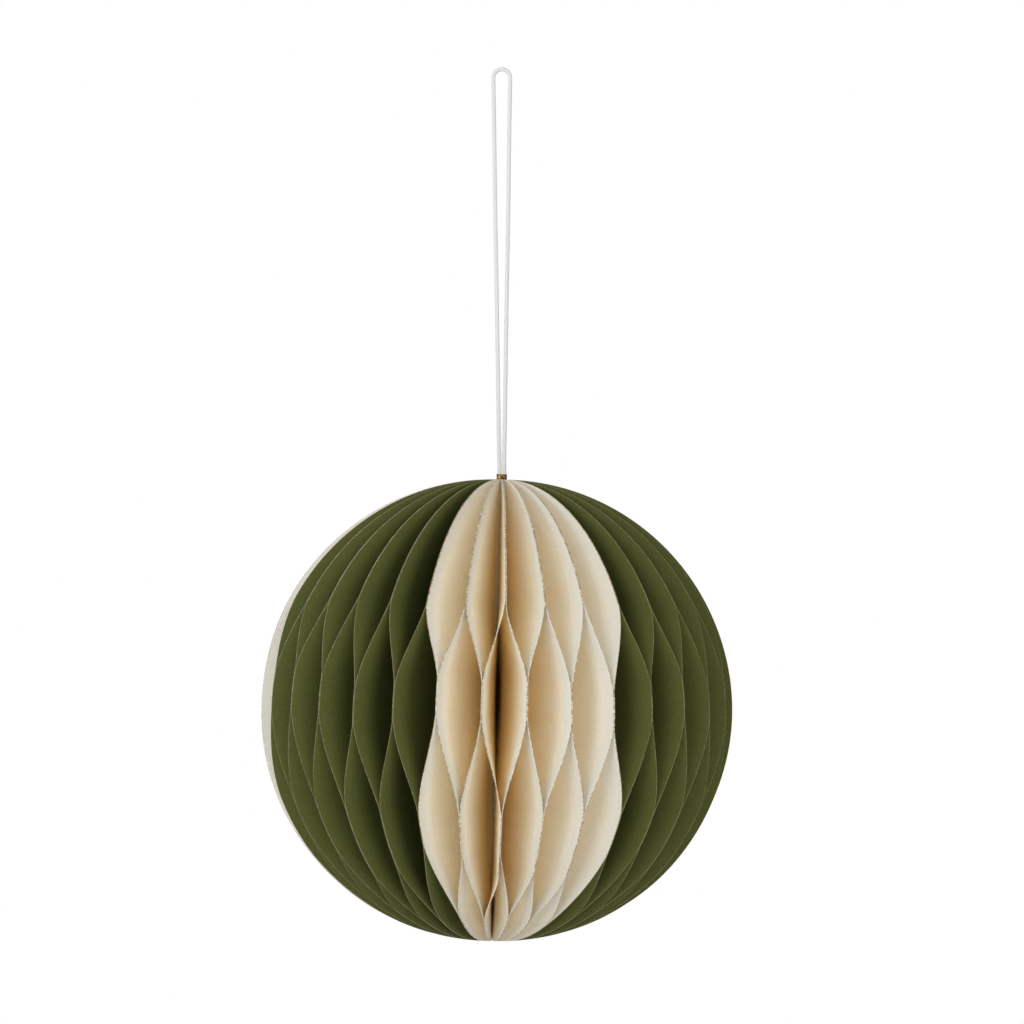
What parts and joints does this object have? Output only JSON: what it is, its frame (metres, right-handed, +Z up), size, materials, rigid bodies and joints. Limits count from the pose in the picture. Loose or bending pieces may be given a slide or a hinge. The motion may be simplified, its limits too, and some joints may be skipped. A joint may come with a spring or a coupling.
{
  "type": "honeycomb paper ball",
  "caption": "Hanging ball of folded paper leaves that spread into open honeycomb cells, in cream and green sectors, on a thin cord loop.",
  "frame": {"origin": "inside the top of the cord loop, where it hangs on a hook", "axes": "+Z up along the plumb loop, +X to the right and +Y away from the viewer as the picture shows the ball"},
  "size_m": [0.0951, 0.0951, 0.1764],
  "materials": {
    "cream_paper": "matte, with a glitter edge",
    "green_paper": "matte, with a glitter edge",
    "collar_metal": "satin",
    "cord": "smooth white cord"
  },
  "bodies": {
    "root": {"cream_sheet_01": "cream_paper", "cream_sheet_02": "cream_paper", "cream_sheet_03": "cream_paper", "cream_sheet_04": "cream_paper", "cream_sheet_05": "cream_paper", "cream_sheet_06": "cream_paper", "cream_sheet_07": "cream_paper", "cream_sheet_08": "cream_paper", "cream_sheet_09": "cream_paper", "cream_sheet_10": "cream_paper", "cream_sheet_11": "cream_paper", "cream_sheet_12": "cream_paper", "cream_sheet_13": "cream_paper", "cream_sheet_14": "cream_paper", "cream_sheet_15": "cream_paper", "green_sheet_01": "green_paper", "green_sheet_02": "green_paper", "green_sheet_03": "green_paper", "green_sheet_04": "green_paper", "green_sheet_05": "green_paper", "green_sheet_06": "green_paper", "green_sheet_07": "green_paper", "green_sheet_08": "green_paper", "green_sheet_09": "green_paper", "green_sheet_10": "green_paper", "green_sheet_11": "green_paper", "green_sheet_12": "green_paper", "green_sheet_13": "green_paper", "green_sheet_14": "green_paper", "green_sheet_15": "green_paper", "crimp_collar": "collar_metal", "hanging_cord": "cord"}
  },
  "joints": []
}
